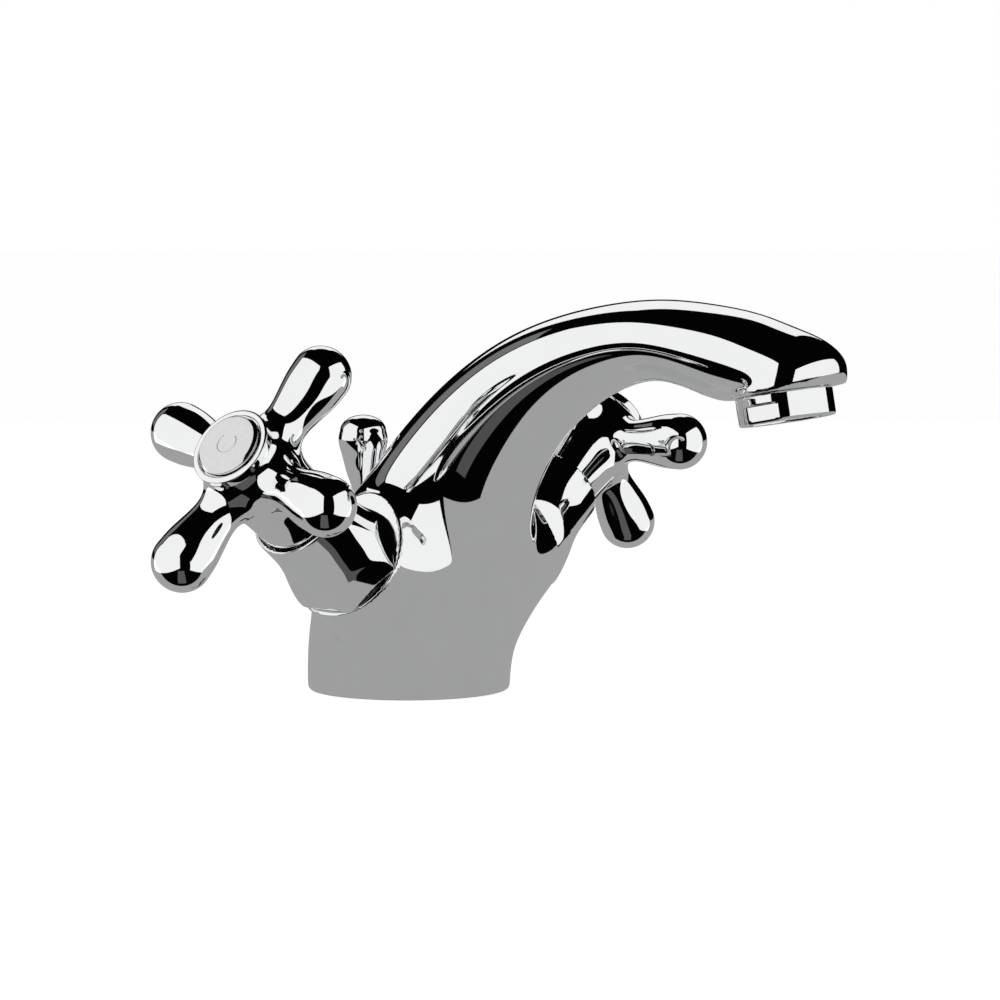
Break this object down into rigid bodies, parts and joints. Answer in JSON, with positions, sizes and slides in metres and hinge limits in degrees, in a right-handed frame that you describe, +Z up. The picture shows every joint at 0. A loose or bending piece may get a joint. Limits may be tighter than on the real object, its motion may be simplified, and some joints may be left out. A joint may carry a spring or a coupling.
{
  "type": "bathroom mixer faucet",
  "caption": "Deck-mounted basin mixer with an arched fixed spout, cross handles on outward-leaning valves, an aerator and a pop-up waste lift rod.",
  "frame": {"origin": "centre of the round base on the deck plane", "axes": "+Z up from the deck, spout towards -Y, hot (left) handle towards -X, cold (right) handle towards +X"},
  "size_m": [0.1947, 0.1599, 0.2034],
  "materials": {
    "chrome": "mirror-polished chrome plate on brass",
    "index_chrome": "satin chrome disc with a fine edge",
    "brass": "turned brass",
    "steel": "plain stainless steel",
    "rubber": "matte black rubber",
    "ceramic": "lapped alumina ceramic",
    "bush_plastic": "white acetal",
    "insert_plastic": "grey acetal"
  },
  "bodies": {
    "body": {"body": "chrome", "base_gasket": "rubber", "fixing_stud": "steel", "rubber_horseshoe": "rubber", "steel_horseshoe": "steel", "fixing_nut": "brass", "left_headwork": "brass", "left_seat_seal": "rubber", "left_fixed_disc": "ceramic", "left_bonnet": "chrome", "right_headwork": "brass", "right_seat_seal": "rubber", "right_fixed_disc": "ceramic", "right_bonnet": "chrome", "aerator_shell": "chrome", "aerator_insert": "insert_plastic", "aerator_washer": "rubber", "rod_guide": "bush_plastic"},
    "left_handle": {"left_moving_disc": "ceramic", "left_spindle": "brass", "left_spindle_o_ring": "rubber", "left_circlip": "steel", "left_handle": "chrome", "left_spline_bush": "bush_plastic", "left_handle_screw": "steel", "left_index_disc": "index_chrome"},
    "right_handle": {"right_moving_disc": "ceramic", "right_spindle": "brass", "right_spindle_o_ring": "rubber", "right_circlip": "steel", "right_handle": "chrome", "right_spline_bush": "bush_plastic", "right_handle_screw": "steel", "right_index_disc": "index_chrome"},
    "lift_rod": {"lift_rod": "steel", "lift_knob": "chrome"}
  },
  "joints": [
    {"name": "hot_valve", "type": "hinge", "parent": "body", "child": "left_handle", "pos_m": [-0.07364, -0.0076, 0.06231], "axis": [-0.8191, 0, 0.5736], "range_deg": [0, 90]},
    {"name": "cold_valve", "type": "hinge", "parent": "body", "child": "right_handle", "pos_m": [0.07364, -0.0076, 0.06231], "axis": [0.8191, 0, 0.5736], "range_deg": [-90, 0]},
    {"name": "waste_lift", "type": "slide", "parent": "body", "child": "lift_rod", "axis": [0, 0, 1], "range_m": [0, 0.025]}
  ]
}
